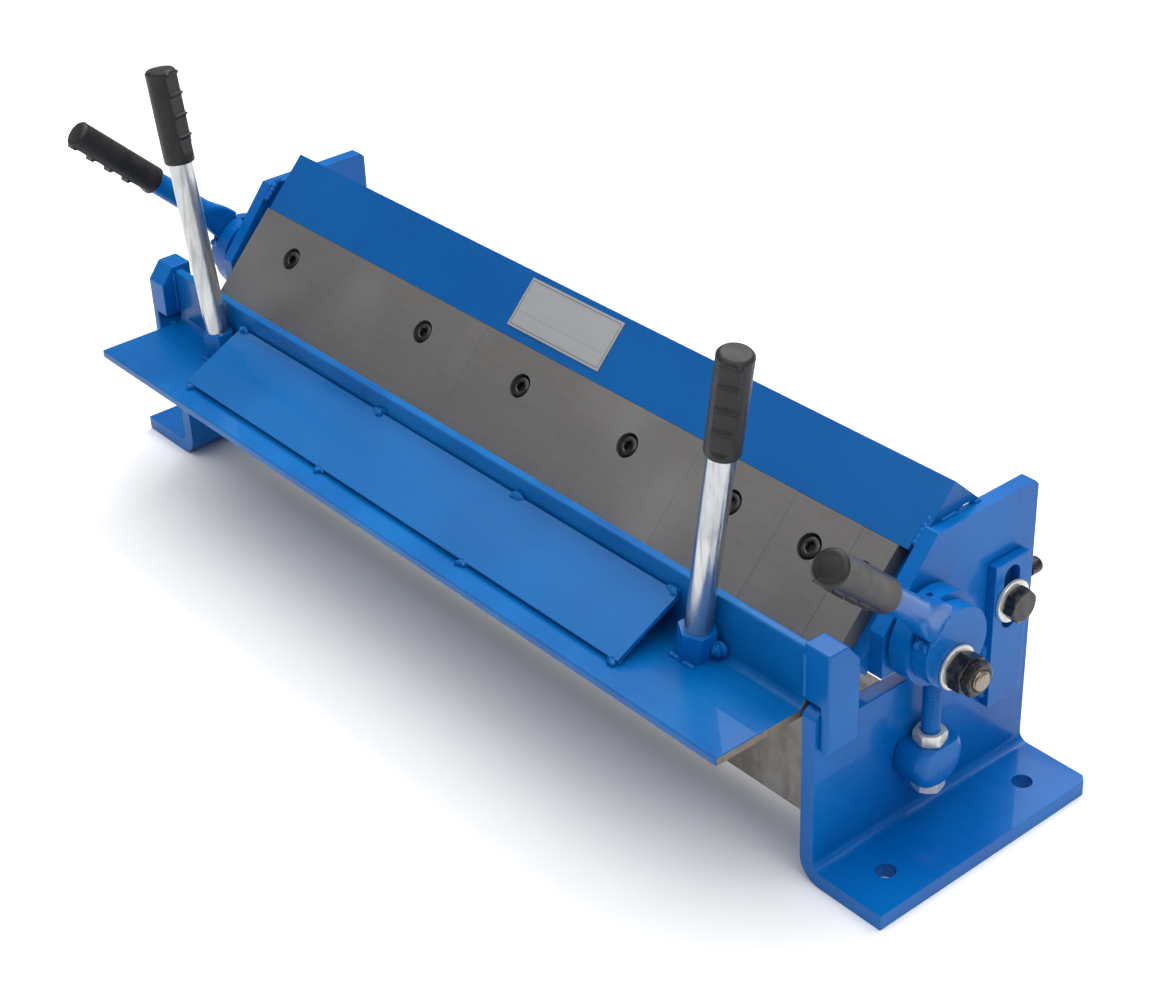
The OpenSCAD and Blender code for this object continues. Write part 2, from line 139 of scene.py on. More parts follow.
class Graph:
    """A node tree of a material or the world, filled through one method."""

    def __init__(self, owner):
        owner.use_nodes = True
        self.owner = owner
        self.tree = owner.node_tree

    def node(self, kind, settings=None, inputs=None, out=0):
        made = self.tree.nodes.new(kind)
        for key, value in (settings or {}).items():
            setattr(made, key, value)
        for key, value in (inputs or {}).items():
            self.feed(made.inputs[key], value)
        return Wire(self, made.outputs[out])

    def feed(self, socket, value):
        if isinstance(value, Wire):
            self.tree.links.new(value.socket, socket)
        else:
            socket.default_value = value

    def blend(self, share, first, second):
        """Colour that goes from first to second as share goes from 0 to 1."""
        return self.node("ShaderNodeMix", {"data_type": "RGBA"}, {0: share, 6: first, 7: second}, 2)

    def noise(self, stretch, scale, detail=3.0, roughness=0.5):
        """Noise in the piece's own coordinates, stretched along the axes with small numbers."""
        where = self.node("ShaderNodeTexCoord", out=3)
        turned_to = self.node("ShaderNodeMapping", {}, {"Vector": where, "Scale": stretch})
        return self.node("ShaderNodeTexNoise", {}, {"Vector": turned_to, "Scale": scale,
                                                    "Detail": detail, "Roughness": roughness})

    def band(self, value, low, high):
        """0 below low, 1 above high, smooth between."""
        return self.node("ShaderNodeMapRange", {"interpolation_type": "SMOOTHSTEP"},
                         {"Value": value, "From Min": low, "From Max": high})


def finish(graph, colour, roughness, metallic=0.0, relief=None, depth=0.0, **fixed):
    """Closes a material: the sockets of its shader, with relief as a bump of that depth in metres."""
    shader = graph.tree.nodes["Principled BSDF"]
    graph.feed(shader.inputs["Base Color"], colour)
    graph.feed(shader.inputs["Roughness"], roughness)
    graph.feed(shader.inputs["Metallic"], metallic)
    for key, value in fixed.items():
        shader.inputs[key.replace("_", " ")].default_value = value
    if relief is not None:
        bump = graph.node("ShaderNodeBump", {}, {"Height": relief, "Distance": depth, "Strength": 1.0})
        graph.feed(shader.inputs["Normal"], bump)
    return graph.owner


def material(name):
    return Graph(bpy.data.materials.new(name))


world = bpy.data.worlds.new("studio_dome")
bpy.context.scene.world = world
sky = Graph(world)
direction = sky.node("ShaderNodeTexCoord", out=0)
height = sky.node("ShaderNodeSeparateXYZ", {}, {0: direction}, 2)
dome_glow = 0.24        # strength near the horizon
dome_gain = 1.85        # added overhead
overhead = sky.band(height, 0.50, 0.86)
background = sky.tree.nodes["Background"]
sky.feed(background.inputs["Strength"], dome_glow + overhead * dome_gain)
background.inputs["Color"].default_value = (1.0, 1.0, 1.0, 1.0)


def soft_box(name, at, towards, wide, tall, power):
    """A rectangular lamp that faces a point."""
    lamp = bpy.data.lights.new(name, "AREA")
    lamp.shape = "RECTANGLE"
    lamp.size = wide
    lamp.size_y = tall
    lamp.energy = power
    holder = bpy.data.objects.new(name, lamp)
    bpy.context.scene.collection.objects.link(holder)
    back = np.array(at, float) - np.array(towards, float)
    back = back / np.linalg.norm(back)
    side = np.cross([0.0, 0.0, 1.0], back)
    side = side / np.linalg.norm(side)
    seat = np.eye(4)
    seat[:3, 0] = side
    seat[:3, 1] = np.cross(back, side)
    seat[:3, 2] = back
    seat[:3, 3] = at
    holder.matrix_world = seat.T.tolist()


soft_box("box_over_back", (-0.5, 1.5, 2.1), (0, 0, 0.1), 1.8, 1.2, 22)
soft_box("box_right", (2.3, -0.2, 1.5), (0.1, 0, 0.1), 1.0, 1.4, 7)

floor_half = 30.0
corners = ((-1, -1), (1, -1), (1, 1), (-1, 1))
floor_mesh = bpy.data.meshes.new("floor")
floor_mesh.from_pydata([(x * floor_half, y * floor_half, 0.0) for x, y in corners], [], [(0, 1, 2, 3)])
floor = bpy.data.objects.new("floor", floor_mesh)
bpy.context.scene.collection.objects.link(floor)
paper = material("pale_floor")
paper_grain = paper.noise((1, 1, 1), 40.0)
paper_colour = paper.blend(paper_grain, (0.94, 0.94, 0.94, 1), (0.97, 0.97, 0.97, 1))
floor_mesh.materials.append(finish(paper, paper_colour, 0.75, Specular_IOR_Level=0.1))
floor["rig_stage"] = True

# ---------------------------------------------------------------------------
# Painted steelwork of the base: two bent end plates and two slotted guide
# bars. Plasma-cut mild steel with eased edges, welded up and sprayed with
# blue enamel, so the paint shows orange peel, long strokes and thin patches.
BEND = -0.0765          # the bending line's y in the frame, in metres
EDGE_PLATE = 0.9        # rounding of painted plate edges, in millimetres
EDGE_BAR = 0.8


def enamel(name, deep, bright, stroke, strength, raw_beyond=None):
    """Blue enamel: two blues mixed by broad clouds, strokes along X, fine orange peel in the gloss."""
    g = material(name)
    clouds = g.band(g.noise((1, 1, 1), 14.0, 4.0), 0.3, 0.72)
    strokes = g.noise((0.045, 1, 1), stroke, 5.0, 0.62)
    peel = g.noise((1, 1, 1), 620.0, 2.0)
    waves = g.noise((1, 1, 1), 120.0, 2.0)
    specks = g.band(g.noise((1, 1, 1), 380.0, 2.0, 0.6), 0.70, 0.78)
    colour = g.blend(clouds * 0.6 + strokes * 0.4, deep, bright)
    colour = g.blend(specks * 0.16, colour, (0.02, 0.03, 0.06, 1))
    rough = 0.20 + clouds * 0.08 + strokes * 0.14 + specks * 0.1
    relief = strokes * strength + peel * 0.25 + waves * 0.35
    metallic = 0.0
    if raw_beyond is not None:
        where = g.node("ShaderNodeTexCoord", out=3)
        along = g.node("ShaderNodeSeparateXYZ", {}, {0: where}, 0)
        raw = along.math("ABSOLUTE", along) > raw_beyond
        mill = g.noise((1, 1, 1), 160.0, 5.0, 0.65)
        steel = g.blend(mill, (0.10, 0.075, 0.05, 1), (0.36, 0.30, 0.23, 1))
        colour = g.blend(raw, colour, steel)
        rough = rough + raw * 0.22
        metallic = raw * 0.7
    return finish(g, colour, rough, metallic, relief, 0.00016, IOR=1.5, Specular_IOR_Level=0.14,
                  Coat_Weight=0.16, Coat_Roughness=0.03)


blue = enamel("blue_enamel", (0.0, 0.090, 0.360, 1), (0.0, 0.142, 0.475, 1), 150.0, 0.30)


def link(name, mesh, paint, body, nodes=(), sharp=34.0, weighted=False):
    """Puts a mesh into the scene as one piece riding on a body and the nodes it stands for."""
    mesh.materials.clear()
    mesh.materials.append(paint)
    mesh.polygons.foreach_set("use_smooth", np.ones(len(mesh.polygons), bool))
    mesh.set_sharp_from_angle(angle=math.radians(sharp))
    made = bpy.data.objects.new(name, mesh)
    bpy.context.scene.collection.objects.link(made)
    if weighted:
        even = made.modifiers.new("even_normals", "WEIGHTED_NORMAL")
        even.weight = 100
        even.keep_sharp = True
    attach(made, body)
    if nodes:
        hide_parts(*nodes)
    return made


def eased(node, edge, paint, steps=2):
    """Finished copy of a CAD solid: triangles merged to flat faces, sharp edges rounded by edge mm."""
    source = frame["nodes"][node]
    work = bmesh.new()
    work.from_mesh(source.data)
    bmesh.ops.remove_doubles(work, verts=work.verts, dist=0.00001)
    bmesh.ops.dissolve_limit(work, angle_limit=math.radians(1.0), verts=work.verts, edges=work.edges)
    corners = [e for e in work.edges if len(e.link_faces) == 2 and e.calc_face_angle() > math.radians(32)]
    bmesh.ops.bevel(work, geom=corners, offset=edge / 1000, offset_type="OFFSET", segments=steps,
                    profile=0.5, affect="EDGES", clamp_overlap=True)
    mesh = bpy.data.meshes.new(node + "_finished")
    work.to_mesh(mesh)
    work.free()
    return link(node + "_finished", mesh, paint, source["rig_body"], (node,), 40.0, True)


for node in ("base_end_plate_right", "base_end_plate_left"):
    eased(node, EDGE_PLATE, blue, 3)
for node in ("guide_bar_right", "guide_bar_left"):
    eased(node, EDGE_BAR, blue)

# ---------------------------------------------------------------------------
# Weld beads: rippled fillets laid by hand, then painted over with the rest.
# Each is a tube of ripples sunk half into the corner that it fills.


def rows_to_faces(rows, columns):
    """Quads of a grid whose columns wrap round, row by row."""
    row, column = np.meshgrid(np.arange(rows - 1), np.arange(columns), indexing="ij")
    beside = (column + 1) % columns
    quads = np.stack([row * columns + column, row * columns + beside,
                      (row + 1) * columns + beside, (row + 1) * columns + column], -1)
    return quads.reshape(-1, 4)


def build(name, points, faces, paint, body, nodes=(), sharp=34.0):
    """Closed mesh from points in millimetres from the bending line: doubles merged, normals outward."""
    mesh = bpy.data.meshes.new(name)
    places = np.asarray(points, float).reshape(-1, 3) / 1000 + (0, BEND, 0)
    mesh.from_pydata(places.tolist(), [], faces.tolist() if isinstance(faces, np.ndarray) else faces)
    work = bmesh.new()
    work.from_mesh(mesh)
    bmesh.ops.remove_doubles(work, verts=work.verts, dist=0.000002)
    bmesh.ops.recalc_face_normals(work, faces=work.faces)
    work.to_mesh(mesh)
    work.free()
    return link(name, mesh, paint, body, nodes, sharp)


def joined(parts):
    """Several (points, faces) pairs as one."""
    points = []
    faces = []
    offset = 0
    for some_points, some_faces in parts:
        flat = np.asarray(some_points, float).reshape(-1, 3)
        points.append(flat)
        faces.append(np.asarray(some_faces) + offset)
        offset += len(flat)
    return np.concatenate(points), np.concatenate(faces)


def bead(start, end, radius, seed=0):
    """Tube from start to end whose radius swells once per ripple and closes to a point at both ends."""
    start = np.array(start, float)
    end = np.array(end, float)
    length = np.linalg.norm(end - start)
    forward = (end - start) / length
    side = np.cross(forward, [0.31, 0.52, 0.79])
    side = side / np.linalg.norm(side)
    other = np.cross(forward, side)
    rows = max(24, int(length * 3))
    along = np.linspace(0, 1, rows)
    chance = np.random.default_rng(seed)
    wander = np.convolve(chance.normal(0, 1, rows + 8), np.ones(9) / 9, "valid") * radius * 0.35
    swell = radius * (0.88 + 0.16 * np.abs(np.sin(along * length / 1.9 * math.pi / 2 + wander)))
    swell = swell * np.clip(np.minimum(along, 1 - along) * length / radius, 0, 1) ** 0.5
    angle = np.linspace(0, 2 * math.pi, 14, endpoint=False)
    ring = np.cos(angle)[None, :, None] * side + np.sin(angle)[None, :, None] * other
    spine = start + along[:, None] * (end - start) + wander[:, None] * 0.3 * side
    return spine[:, None, :] + swell[:, None, None] * ring, rows_to_faces(rows, len(angle))


def mirrored(part):
    """The same part at the other end of the machine."""
    points, faces = part
    return np.asarray(points, float) * (-1, 1, 1), faces


GUIDE_WELD_X = 324.6            # foot of the guide bar on the end plate
GUIDE_WELD_Y = (123.6, 152.4)
BED_WELD_X = 313.6              # corner of the bed and the end plate
base_welds = [bead((GUIDE_WELD_X, y, 60), (GUIDE_WELD_X, y, 98), 2.6, i) for i, y in enumerate(GUIDE_WELD_Y)]
base_welds += [bead((BED_WELD_X, 3, 34.2), (BED_WELD_X, 49, 34.2), 3.2, 4)]
base_welds += [bead((BED_WELD_X, 51, 40), (BED_WELD_X, 51, 98), 3.2, 5)]
points, faces = joined(base_welds + [mirrored(w) for w in base_welds])
build("base_welds", points, faces, blue, "base")

# ---------------------------------------------------------------------------
# Bed: a solid bar of hot rolled steel with a planed top, left unpainted. Oil
# and handling have stained it brown in clouds, with darker runs.
g = material("stained_steel")
clouds = g.band(g.noise((1, 1, 1), 26.0, 6.0, 0.62), 0.32, 0.72)
runs = g.band(g.noise((1, 1, 0.22), 90.0, 5.0, 0.6), 0.45, 0.72)
grain = g.noise((0.05, 1, 1), 900.0, 3.0)
pits = g.band(g.noise((1, 1, 1), 420.0, 3.0, 0.6), 0.66, 0.74)
colour = g.blend(clouds, (0.29, 0.272, 0.25, 1), (0.17, 0.15, 0.122, 1))
colour = g.blend(runs * 0.55, colour, (0.09, 0.075, 0.055, 1))
colour = g.blend(pits * 0.6, colour, (0.06, 0.05, 0.04, 1))
stained = finish(g, colour, 0.38 + clouds * 0.2 + pits * 0.15, 0.75 - runs * 0.3,
                 grain * 0.5 + pits * -0.6, 0.00012)
eased("bed", 0.7, stained)

# ---------------------------------------------------------------------------
# Bending leaf: a length of rolled angle with sawn ends that stayed bare, a
# folded stiffener leaned into it and tacked at eight places, and a pivot
# block at each end. Brushed with enamel lengthwise.
BARE_BEYOND = 0.31185   # the sawn ends start at this distance from the middle, in metres
leaf_blue = enamel("leaf_enamel", (0.0, 0.084, 0.315, 1), (0.001, 0.150, 0.455, 1), 420.0, 0.85,
                   BARE_BEYOND)
eased("leaf_angle", 1.2, leaf_blue, 3)
sheet_blue = enamel("stiffener_enamel", (0.0, 0.098, 0.330, 1), (0.002, 0.132, 0.410, 1), 90.0, 0.12)
FLANGE_TOP = 113.5      # top of the level flange
STIFF_FRONT = -54.0     # front edge of the stiffener
STIFF_RISE = 27.0       # its rear edge stands this much higher
STIFF_THICK = 3.2
STIFF_CROWN = 0.5
STIFF_X = (-226, 216)


def strip(outline, x0, x1, edge):
    """Closed outline (y, z) carried along X, each end drawn in by edge so that its rim is rounded."""
    outline = np.array(outline, float)
    middle = outline.mean(0)
    stations = [(x0, 1.6), (x0 + 0.3 * edge, 0.5), (x0 + edge, 0.0)]
    stations += [(x1 - edge, 0.0), (x1 - 0.3 * edge, 0.5), (x1, 1.6)]
    ring = []
    for x, drawn in stations:
        inward = middle - outline
        inward = inward / np.linalg.norm(inward, axis=1)[:, None]
        moved = outline + inward * drawn * edge * 0.4
        ring.append(np.column_stack([np.full(len(outline), x), moved]))
    points = np.concatenate(ring)
    count = len(outline)
    faces = rows_to_faces(len(stations), count).tolist()
    faces.append(list(range(count))[::-1])
    faces.append(list(range(len(points) - count, len(points))))
    return points, faces


def crowned_sheet(front, back, thick, crown_height, samples=24):
    """Outline of a sheet from front to back, bowed outward by a parabola, with a nose at its front edge."""
    share = np.linspace(0, 1, samples)
    line = np.array(front) + share[:, None] * (np.array(back) - np.array(front))
    normal = np.array([front[1] - back[1], back[0] - front[0]], float)
    normal = normal / np.linalg.norm(normal)
    crown = (crown_height * 4 * share * (1 - share))[:, None] * normal
    top = line + crown + normal * thick
    under = line + crown
    nose = under[0] + normal * thick * 0.5 - (top[1] - top[0]) * 0.2
    return np.concatenate([top[::-1], [nose], under])


stiff_back = (-6.4, FLANGE_TOP + STIFF_RISE - 3.4)
outline = crowned_sheet((STIFF_FRONT + 1.0, FLANGE_TOP + 0.5), stiff_back, STIFF_THICK, STIFF_CROWN)
points, faces = strip(outline, *STIFF_X, 1.0)
build("leaf_stiffener_sheet", points, faces, sheet_blue, "leaf", ("leaf_stiffener",), 40.0)


def tack(at, wide, tall, seed):
    """Spatter-edged weld blob: a flattened ball whose rim swings in and out in a few random lobes."""
    chance = np.random.default_rng(seed)
    phase = chance.uniform(0, 2 * math.pi, 4)
    rows, columns = 12, 30
    up, around = np.meshgrid(np.linspace(-math.pi / 2, math.pi / 2, rows),
                             np.linspace(0, 2 * math.pi, columns, endpoint=False), indexing="ij")
    lobes = 1 + 0.22 * np.sin(3 * around + phase[0]) + 0.16 * np.sin(5 * around + phase[1])
    lobes = lobes + 0.08 * np.sin(8 * around + phase[2])
    x = wide * lobes * np.cos(up) * np.cos(around)
    y = wide * 0.75 * lobes * np.cos(up) * np.sin(around)
    z = tall * np.sin(up) * (1 + 0.15 * np.sin(4 * around + phase[3]))
    return np.stack([x, y, z], -1) + at, rows_to_faces(rows, columns)


FRONT_TACKS = (-221, -70, 77, 212)
REAR_TACKS = (-222, -66, 74, 212)
rear_tack_z = FLANGE_TOP + STIFF_RISE - 0.4
tacks = [tack((x, STIFF_FRONT, FLANGE_TOP + 1.0), 4.4, 2.6, 10 + i) for i, x in enumerate(FRONT_TACKS)]
tacks += [tack((x, -8.0, rear_tack_z), 4.2, 2.8, 20 + i) for i, x in enumerate(REAR_TACKS)]
points, faces = joined(tacks)
build("stiffener_tacks", points, faces, leaf_blue, "leaf", (), 60.0)
for node in ("leaf_pivot_block_right", "leaf_pivot_block_left"):
    eased(node, 1.0, blue)
leaf_welds = [bead((312.4, -6.6, 121), (312.4, -6.6, 150), 1.5, 31)]
leaf_welds += [bead((312.3, 0.6, 122), (312.3, 0.6, 150), 1.5, 32)]
points, faces = joined(leaf_welds + [mirrored(w) for w in leaf_welds])
build("pivot_block_welds", points, faces, blue, "leaf")

# ---------------------------------------------------------------------------
# Leaf handles: zinc plated tube pushed into hexagonal sockets that are welded
# on the angle, with moulded black grips. The plating is bright with faint
# drawing lines along the tube.
LEAF_TILT = math.radians(9.5)
TUBE_R = 8.0
HANDLE_L = 205.0
TUBE_FOOT = 6.0         # the tube starts this far up its socket
TUBE_TOP = HANDLE_L - 8.5
GRIP_L = 64.0
SOCKET_Y = -16.0
SOCKETS = ((236.5, 1), (-241.0, -1))    # place along the leaf, and the side to which the handle leans

g = material("zinc_plate")
draw_lines = g.noise((1, 1, 0.02), 900.0, 4.0, 0.6)
bloom = g.band(g.noise((1, 1, 0.4), 60.0, 4.0, 0.6), 0.35, 0.75)
spangle = g.noise((1, 1, 1), 900.0, 2.0)
streaks = g.band(g.noise((1, 1, 0.015), 230.0, 3.0, 0.6), 0.48, 0.62)
colour = g.blend(bloom, (0.60, 0.615, 0.625, 1), (0.43, 0.44, 0.45, 1))
colour = g.blend(draw_lines * 0.25, colour, (0.30, 0.30, 0.30, 1))
colour = g.blend(streaks * 0.4, colour, (0.20, 0.20, 0.21, 1))
zinc = finish(g, colour, 0.15 + bloom * 0.10 + draw_lines * 0.08, 0.95, draw_lines + spangle * 0.3, 0.00006)


def turned(centre, axis, profile, columns=64, swell=None, start=None):
    """Profile rows (distance along axis, radius) spun round it; swell(angle, along, radius) reshapes them."""
    axis = np.array(axis, float)
    axis = axis / np.linalg.norm(axis)
    hint = np.array(start if start is not None else (0.13, 0.31, 0.94), float)
    first = hint - axis * hint.dot(axis)
    first = first / np.linalg.norm(first)
    second = np.cross(axis, first)
    profile = np.array(profile, float)
    angle = np.linspace(0, 2 * math.pi, columns, endpoint=False)[None, :]
    along = np.repeat(profile[:, :1], columns, 1)
    radius = np.repeat(profile[:, 1:2], columns, 1)
    if swell is not None:
        radius = swell(np.repeat(angle, len(profile), 0), along, radius)
    spokes = np.cos(angle)[..., None] * first + np.sin(angle)[..., None] * second
    points = np.array(centre, float) + along[..., None] * axis + radius[..., None] * spokes
    return points, rows_to_faces(len(profile), columns)


def handle_axis(side):
    """Unit vector along a leaf handle, leaning outward to its side."""
    return np.array([side * math.sin(LEAF_TILT), 0.0, math.cos(LEAF_TILT)])


tube_rows = [(TUBE_FOOT, 0), (TUBE_FOOT, TUBE_R - 0.8), (TUBE_FOOT + 0.8, TUBE_R)]
tube_rows += [(s, TUBE_R) for s in np.linspace(8, HANDLE_L - 9, 24)]
tube_rows += [(TUBE_TOP, TUBE_R - 0.6), (TUBE_TOP, 0)]
tubes = [turned((x, SOCKET_Y, FLANGE_TOP), handle_axis(side), tube_rows) for x, side in SOCKETS]
points, faces = joined(tubes)
build("leaf_handle_tubes_plated", points, faces, zinc, "leaf", ("leaf_handle_tubes",))
eased("leaf_handle_sockets", 0.8, blue)
socket_welds = [tack((249.5, -10.5, 121), 5.0, 5.0, 41), tack((-228.6, -10.5, 119), 4.2, 4.2, 42)]
socket_welds += [bead((x0, -25.5, 113.8), (x1, -25.5, 113.8), 1.8, seed)
                 for x0, x1, seed in ((226, 247, 43), (-251, -231, 44))]
points, faces = joined(socket_welds)
build("socket_welds", points, faces, blue, "leaf", (), 60.0)

g = material("grip_plastic")
fine = g.noise((1, 1, 1), 1500.0, 2.0)
mottle = g.band(g.noise((1, 1, 1), 90.0, 4.0), 0.35, 0.7)
rub = g.band(g.noise((1, 1, 1), 240.0, 3.0, 0.7), 0.60, 0.78)
colour = g.blend(mottle, (0.012, 0.012, 0.013, 1), (0.021, 0.020, 0.022, 1))
colour = g.blend(rub * 0.35, colour, (0.052, 0.050, 0.053, 1))
black = finish(g, colour, 0.36 + mottle * 0.12 + rub * 0.08, 0.0, fine * 0.7 + mottle * 0.5, 0.00007,
               Specular_IOR_Level=0.34)


SLEEVE_R = 10.2
FLAT_R = 8.9            # distance of the ribbed flat from the axis
FLAT_HALF = 6.4         # half its width
RIB_HEIGHT = 2.1
RIB_PLACES = (0.29, 0.51, 0.73)


def grip_rows(length):
    """Length of the grip from its rolled open end, along the sleeve, over the rim and in to the domed cap."""
    rows = [(0.0, TUBE_R - 0.1), (0.0, 9.0), (0.25, 9.6), (0.8, 10.0), (1.6, SLEEVE_R)]
    rows += [(s, SLEEVE_R) for s in np.linspace(2.2, length - 4.4, 190)]
    rows += [(length - 3.8, 10.25), (length - 3.0, 10.3), (length - 2.4, SLEEVE_R), (length - 1.7, 9.7)]
    rows += [(length - 0.9, 8.9), (length - 0.55, 8.3), (length - 0.45, 7.4), (length - 0.5, 6.4)]
    rows += [(length - 0.35, 5.4)]
    rows += [(length - 0.25, 3.0), (length - 0.2, 0.0)]
    return rows


def grip_swell(length):
    """Flattens the side towards angle 0 and raises three ribs across the flat, each steeper on one side."""

    def swell(angle, along, radius):
        facing = np.cos(angle)
        share = along / length
        fade = np.clip((along - 3) / 3, 0, 1) * np.clip((length - 4.2 - along) / 1.2, 0, 1)
        flat = SLEEVE_R - (SLEEVE_R - FLAT_R) * fade
        for centre in RIB_PLACES:
            over = (along - centre * length) / 1.15
            steepness = np.where(over > 0, 1.8, 0.8)
            flat = flat + RIB_HEIGHT * np.exp(-np.abs(over * steepness) ** 2.4) * fade
        across = np.abs(flat * np.tan(np.clip(angle_from_zero(angle), -1.2, 1.2)))
        crown = np.where(flat > 9.6, np.clip((FLAT_HALF - across) / 0.8, 0, 1), 1.0)
        flat = FLAT_R + (flat - FLAT_R) * crown + (SLEEVE_R - FLAT_R) * (1 - crown) * (1 - fade)
        limit = flat / np.maximum(facing, 0.2)
        on_flat = (facing > 0.72) & (along > 1.7) & (along < length - 2.6)
        proud = on_flat & (limit > radius) & (across < FLAT_HALF) & (share > 0.2)
        reshaped = np.where(on_flat, np.minimum(radius, limit), radius)
        return np.where(proud, limit, reshaped)

    return swell


def angle_from_zero(angle):
    """The angle wrapped to lie between minus and plus half a turn."""
    return (angle + math.pi) % (2 * math.pi) - math.pi


RIBS_TOWARDS = ((0.56, -0.83, 0.0), (0.93, 0.36, 0.0))
grips = []
for (x, side), ribs in zip(SOCKETS, RIBS_TOWARDS):
    centre = np.array([x, SOCKET_Y, FLANGE_TOP]) + handle_axis(side) * (HANDLE_L - GRIP_L)
    grips.append(turned(centre, handle_axis(side), grip_rows(GRIP_L), 120, grip_swell(GRIP_L), ribs))
points, faces = joined(grips)
build("leaf_grips_moulded", points, faces, black, "leaf", ("leaf_grips",), 50.0)

# ---------------------------------------------------------------------------
# Clamping beam: two cut end plates, the backing plate and the folded panel,
# welded together and painted, with a plain foil rating plate stuck on.
for node in ("clamp_end_plate_right", "clamp_end_plate_left"):
    eased(node, 0.9, blue, 3)
eased("clamp_backing_plate", 0.8, blue)
panel_blue = enamel("panel_enamel", (0.0, 0.081, 0.305, 1), (0.0, 0.102, 0.345, 1), 60.0, 0.06)
eased("clamp_panel", 0.6, panel_blue)

SLOPE = math.radians(46.4)
FACE_LEN = 102.5
UP_FACE = np.array([0.0, math.cos(SLOPE), math.sin(SLOPE)])
OFF_FACE = np.array([0.0, -math.sin(SLOPE), math.cos(SLOPE)])
FACE_TOP = np.array([0.0, 0.6, 104.1]) + UP_FACE * FACE_LEN


def on_face(x, up, off=0.0):
    """Point of the finger face: x along the machine, up the slope from the top edge, off the face."""
    return np.array([x, 0.0, 0.0]) + FACE_TOP + UP_FACE * up + OFF_FACE * off


beam_welds = [bead(on_face(313, -66, -21), on_face(313, 22, -21), 2.4, 51),
              bead(on_face(312.6, 3, -1.5), on_face(312.6, 24, -2.0), 2.2, 52)]
gusset_welds = [bead((316.3, y0, 190.4), (316.3, y1, 190.4), 1.3, 53) for y0, y1 in ((91, 104), (117.5, 123))]
points, faces = joined(beam_welds + [mirrored(w) for w in beam_welds] + gusset_welds)
build("beam_welds", points, faces, blue, "clamp_beam")

LABEL_X = (-36.5, 51.5)
LABEL_UP = (6.5, 40.5)
LABEL_OFF = 0.78
half_u = (LABEL_X[1] - LABEL_X[0]) / 2
half_v = (LABEL_UP[1] - LABEL_UP[0]) / 2
g = material("label_foil")
uv = g.node("ShaderNodeUVMap", {"uv_map": "foil"})
u = g.node("ShaderNodeSeparateXYZ", {}, {0: uv}, 0)
v = g.node("ShaderNodeSeparateXYZ", {}, {0: uv}, 1)
edge_u = half_u - u.math("ABSOLUTE", u - half_u)
edge_v = half_v - v.math("ABSOLUTE", v - half_v)
inner = u.math("MINIMUM", edge_u, edge_v)
rule = (inner > 1.5) * (1 - (inner > 2.0))
field = (1 - (v.math("ABSOLUTE", v - 11.0) > 0.16)) * (inner > 4.0)
brushed = g.noise((0.02, 1, 1), 1400.0, 3.0, 0.6)
colour = g.blend(brushed, (0.34, 0.35, 0.36, 1), (0.46, 0.47, 0.48, 1))
colour = g.blend(u.math("MAXIMUM", rule, field * 0.5) * 0.85, colour, (0.08, 0.085, 0.09, 1))
foil = finish(g, colour, 0.36 + brushed * 0.12, 0.55, brushed, 0.00002)
columns, rows = 24, 10
across, up = np.meshgrid(np.linspace(*LABEL_X, columns), np.linspace(*LABEL_UP, rows), indexing="xy")
top = np.array([on_face(x, s, LABEL_OFF) for x, s in zip(across.ravel(), up.ravel())])
low = np.array([on_face(x, s, 0.0) for x, s in zip(across.ravel(), up.ravel())])
cells = [(j * columns + i, j * columns + i + 1, (j + 1) * columns + i + 1, (j + 1) * columns + i)
         for j in range(rows - 1) for i in range(columns - 1)]
under = [tuple(columns * rows + k for k in reversed(cell)) for cell in cells]
rim = list(range(columns)) + [j * columns + columns - 1 for j in range(1, rows)]
rim += [(rows - 1) * columns + i for i in range(columns - 2, -1, -1)]
rim += [j * columns for j in range(rows - 2, 0, -1)]
walls = [(a, a + columns * rows, b + columns * rows, b) for a, b in zip(rim, rim[1:] + rim[:1])]
label = build("rating_plate", np.concatenate([top, low]), cells + under + walls, foil,
              "clamp_beam", ("label_plate",))
layer = label.data.uv_layers.new(name="foil")
spots = np.array([label.data.vertices[loop.vertex_index].co[:] for loop in label.data.loops]) * 1000
away = spots - (0, BEND * 1000, 0) - FACE_TOP
flat_uv = np.column_stack([away[:, 0] - LABEL_X[0], away @ UP_FACE - LABEL_UP[0]])
layer.data.foreach_set("uv", flat_uv.astype(np.float32).ravel())

# ---------------------------------------------------------------------------
# Fingers: five bars of tool steel, surface ground on the face along their
# length and left bare under a film of oil, held by black socket screws in
# counterbores.
g = material("ground_steel")
lines = g.noise((0.012, 1, 1), 2600.0, 5.0, 0.66)
swirl = g.noise((0.05, 1, 1), 320.0, 5.0, 0.6)
film = g.band(g.noise((1, 1, 1), 13.0, 5.0, 0.6), 0.34, 0.70)
fleck = g.noise((0.35, 1, 1), 1300.0, 3.0, 0.7)
colour = g.blend(lines * 0.5 + fleck * 0.5, (0.112, 0.109, 0.105, 1), (0.300, 0.294, 0.287, 1))
colour = g.blend(swirl * 0.35, colour, (0.100, 0.098, 0.095, 1))
colour = g.blend(film * 0.35, colour, (0.140, 0.132, 0.122, 1))
# Painted highlight: broad lighter patches mixed into the colour stand in for the sheen of light across the
# ground faces.
painted_sheen = g.band(g.noise((1, 1, 1), 6.0, 2.0, 0.5), 0.50, 0.68)
colour = g.blend(painted_sheen * 0.4, colour, (0.36, 0.355, 0.35, 1))
ground = finish(g, colour, 0.42 + lines * 0.16 + film * 0.08, 0.72, lines + fleck * 0.8, 0.00004)
for node in ("finger_254", "finger_203", "finger_76", "finger_51", "finger_25"):
    eased(node, 0.08, ground, 1)

